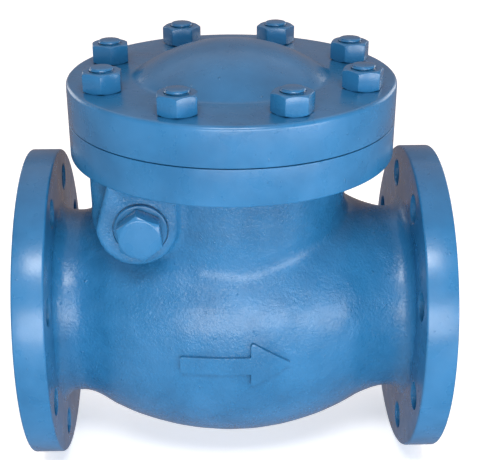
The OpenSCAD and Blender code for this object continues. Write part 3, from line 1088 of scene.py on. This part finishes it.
# Each node's metal or sheet, and the width of its softened edges in mm.
KEPT = {
    "seat_ring": (BRASS, 0.5),
    "disc_face_ring": (BRASS, 0.25),
    "pin_bush_front": (BRASS, 0.3),
    "pin_bush_rear": (BRASS, 0.3),
    "thrust_washer_front": (BRASS, 0.3),
    "thrust_washer_rear": (BRASS, 0.3),
    "bonnet_gasket": (FIBRE, 0.1),
    "hinge_pin": (STAINLESS, 0.8),
    "disc_stud": (STAINLESS, 0.2),
    "disc_washer": (STAINLESS, 0.4),
    "disc_nut": (STAINLESS, 0.3),
}
for node_name, (material, edge_mm) in KEPT.items():
    kept = frame["nodes"][node_name]
    kept.data.materials.clear()
    kept.data.materials.append(material)
    weld = kept.modifiers.new("weld", "WELD")
    weld.merge_threshold = 0.01 * MM
    soften(kept, edge_mm, 40)

# ---------------------------------------------------------------- stage, lights and camera


FLOOR_REACH = 6.0
FLOOR_GLOW = 0.46
WHITE = (1.0, 1.0, 1.0)
ROOM_COLOUR = (0.84, 0.66, 0.60)
ROOM_GLOW = 0.40
AIM_Z = 0.02
# Name, place and size in metres, power in watts, colour.
LIGHTS = (
    ("ceiling", (0.15, 0.9, 2.2), (3.0, 3.0), 15, (1.0, 0.90, 0.86)),
    ("front", (0.19, -1.65, 0.26), (1.4, 0.60), 20, WHITE),
    ("right", (1.25, -1.05, 0.12), (0.9, 0.4), 8, WHITE),
    ("key", (0.14, -1.10, 1.40), (0.90, 0.35), 18, WHITE),
    ("back_left", (-1.2, 1.3, 0.5), (1.0, 0.7), 6, WHITE),
    ("back_right", (1.5, 1.2, 0.5), (1.0, 0.7), 6, WHITE),
)


def studio_floor():
    """A white floor with a little light of its own, hidden from reflections."""
    floor_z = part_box("body")[0][2]
    corners = [(a * FLOOR_REACH, b * FLOOR_REACH, floor_z) for a, b in ((-1, -1), (1, -1), (1, 1), (-1, 1))]
    mesh = bpy.data.meshes.new("floor")
    mesh.from_pydata(corners, [], [(0, 1, 2, 3)])
    material, nodes, links, shader, place = node_material("studio_floor")
    tone = noise_node(nodes, links, place, 400.0)
    stops = [(0.3, (0.92, 0.92, 0.92)), (0.7, (0.94, 0.94, 0.94))]
    links.new(ramp_node(nodes, links, tone, stops), shader.inputs["Base Color"])
    shader.inputs["Roughness"].default_value = 0.7
    shader.inputs["Emission Color"].default_value = (*WHITE, 1.0)
    shader.inputs["Emission Strength"].default_value = FLOOR_GLOW
    mesh.materials.append(material)
    floor = new_object("floor", mesh)
    floor.visible_glossy = False


def soft_light(name, place, size, power, colour):
    """A rectangular studio light aimed at the valve."""
    light = bpy.data.lights.new(name, "AREA")
    light.shape = "RECTANGLE"
    light.size, light.size_y = size
    light.energy = power
    light.color = colour
    obj = new_object(name, light)
    obj.location = place
    aim = Vector((MIDDLE_X, 0, AIM_Z)) - Vector(place)
    obj.rotation_euler = aim.to_track_quat("-Z", "Y").to_euler()


def studio():
    world = bpy.data.worlds.new("studio")
    world.use_nodes = True
    background = world.node_tree.nodes["Background"]
    background.inputs["Color"].default_value = (*ROOM_COLOUR, 1.0)
    background.inputs["Strength"].default_value = ROOM_GLOW
    bpy.context.scene.world = world
    for light in LIGHTS:
        soft_light(*light)


CAMERA_AZIMUTH = -1.5525
CAMERA_ELEVATION = 26.163
CAMERA_ROLL = -0.129
CAMERA_DISTANCE = 0.7797
CAMERA_TARGET = (MIDDLE_X + 0.00185, 0.0, 0.0241)
CAMERA_LENS = 79.8
CAMERA_SHIFT = (0.0140, 0.0776)


def camera():
    data = bpy.data.cameras.new("camera")
    data.lens = CAMERA_LENS
    data.shift_x, data.shift_y = CAMERA_SHIFT
    data.clip_start = 0.01
    obj = new_object("camera", data)
    azimuth = math.radians(CAMERA_AZIMUTH)
    elevation = math.radians(CAMERA_ELEVATION)
    level = math.cos(elevation)
    back = Vector((math.sin(azimuth) * level, -math.cos(azimuth) * level, math.sin(elevation)))
    turn = (-back).to_track_quat("-Z", "Y").to_matrix().to_4x4()
    turn = turn @ Matrix.Rotation(math.radians(CAMERA_ROLL), 4, "Z")
    obj.matrix_world = Matrix.Translation(Vector(CAMERA_TARGET) + CAMERA_DISTANCE * back) @ turn
    bpy.context.scene.camera = obj


studio_floor()
studio()
camera()
bpy.context.scene.view_settings.view_transform = "Standard"
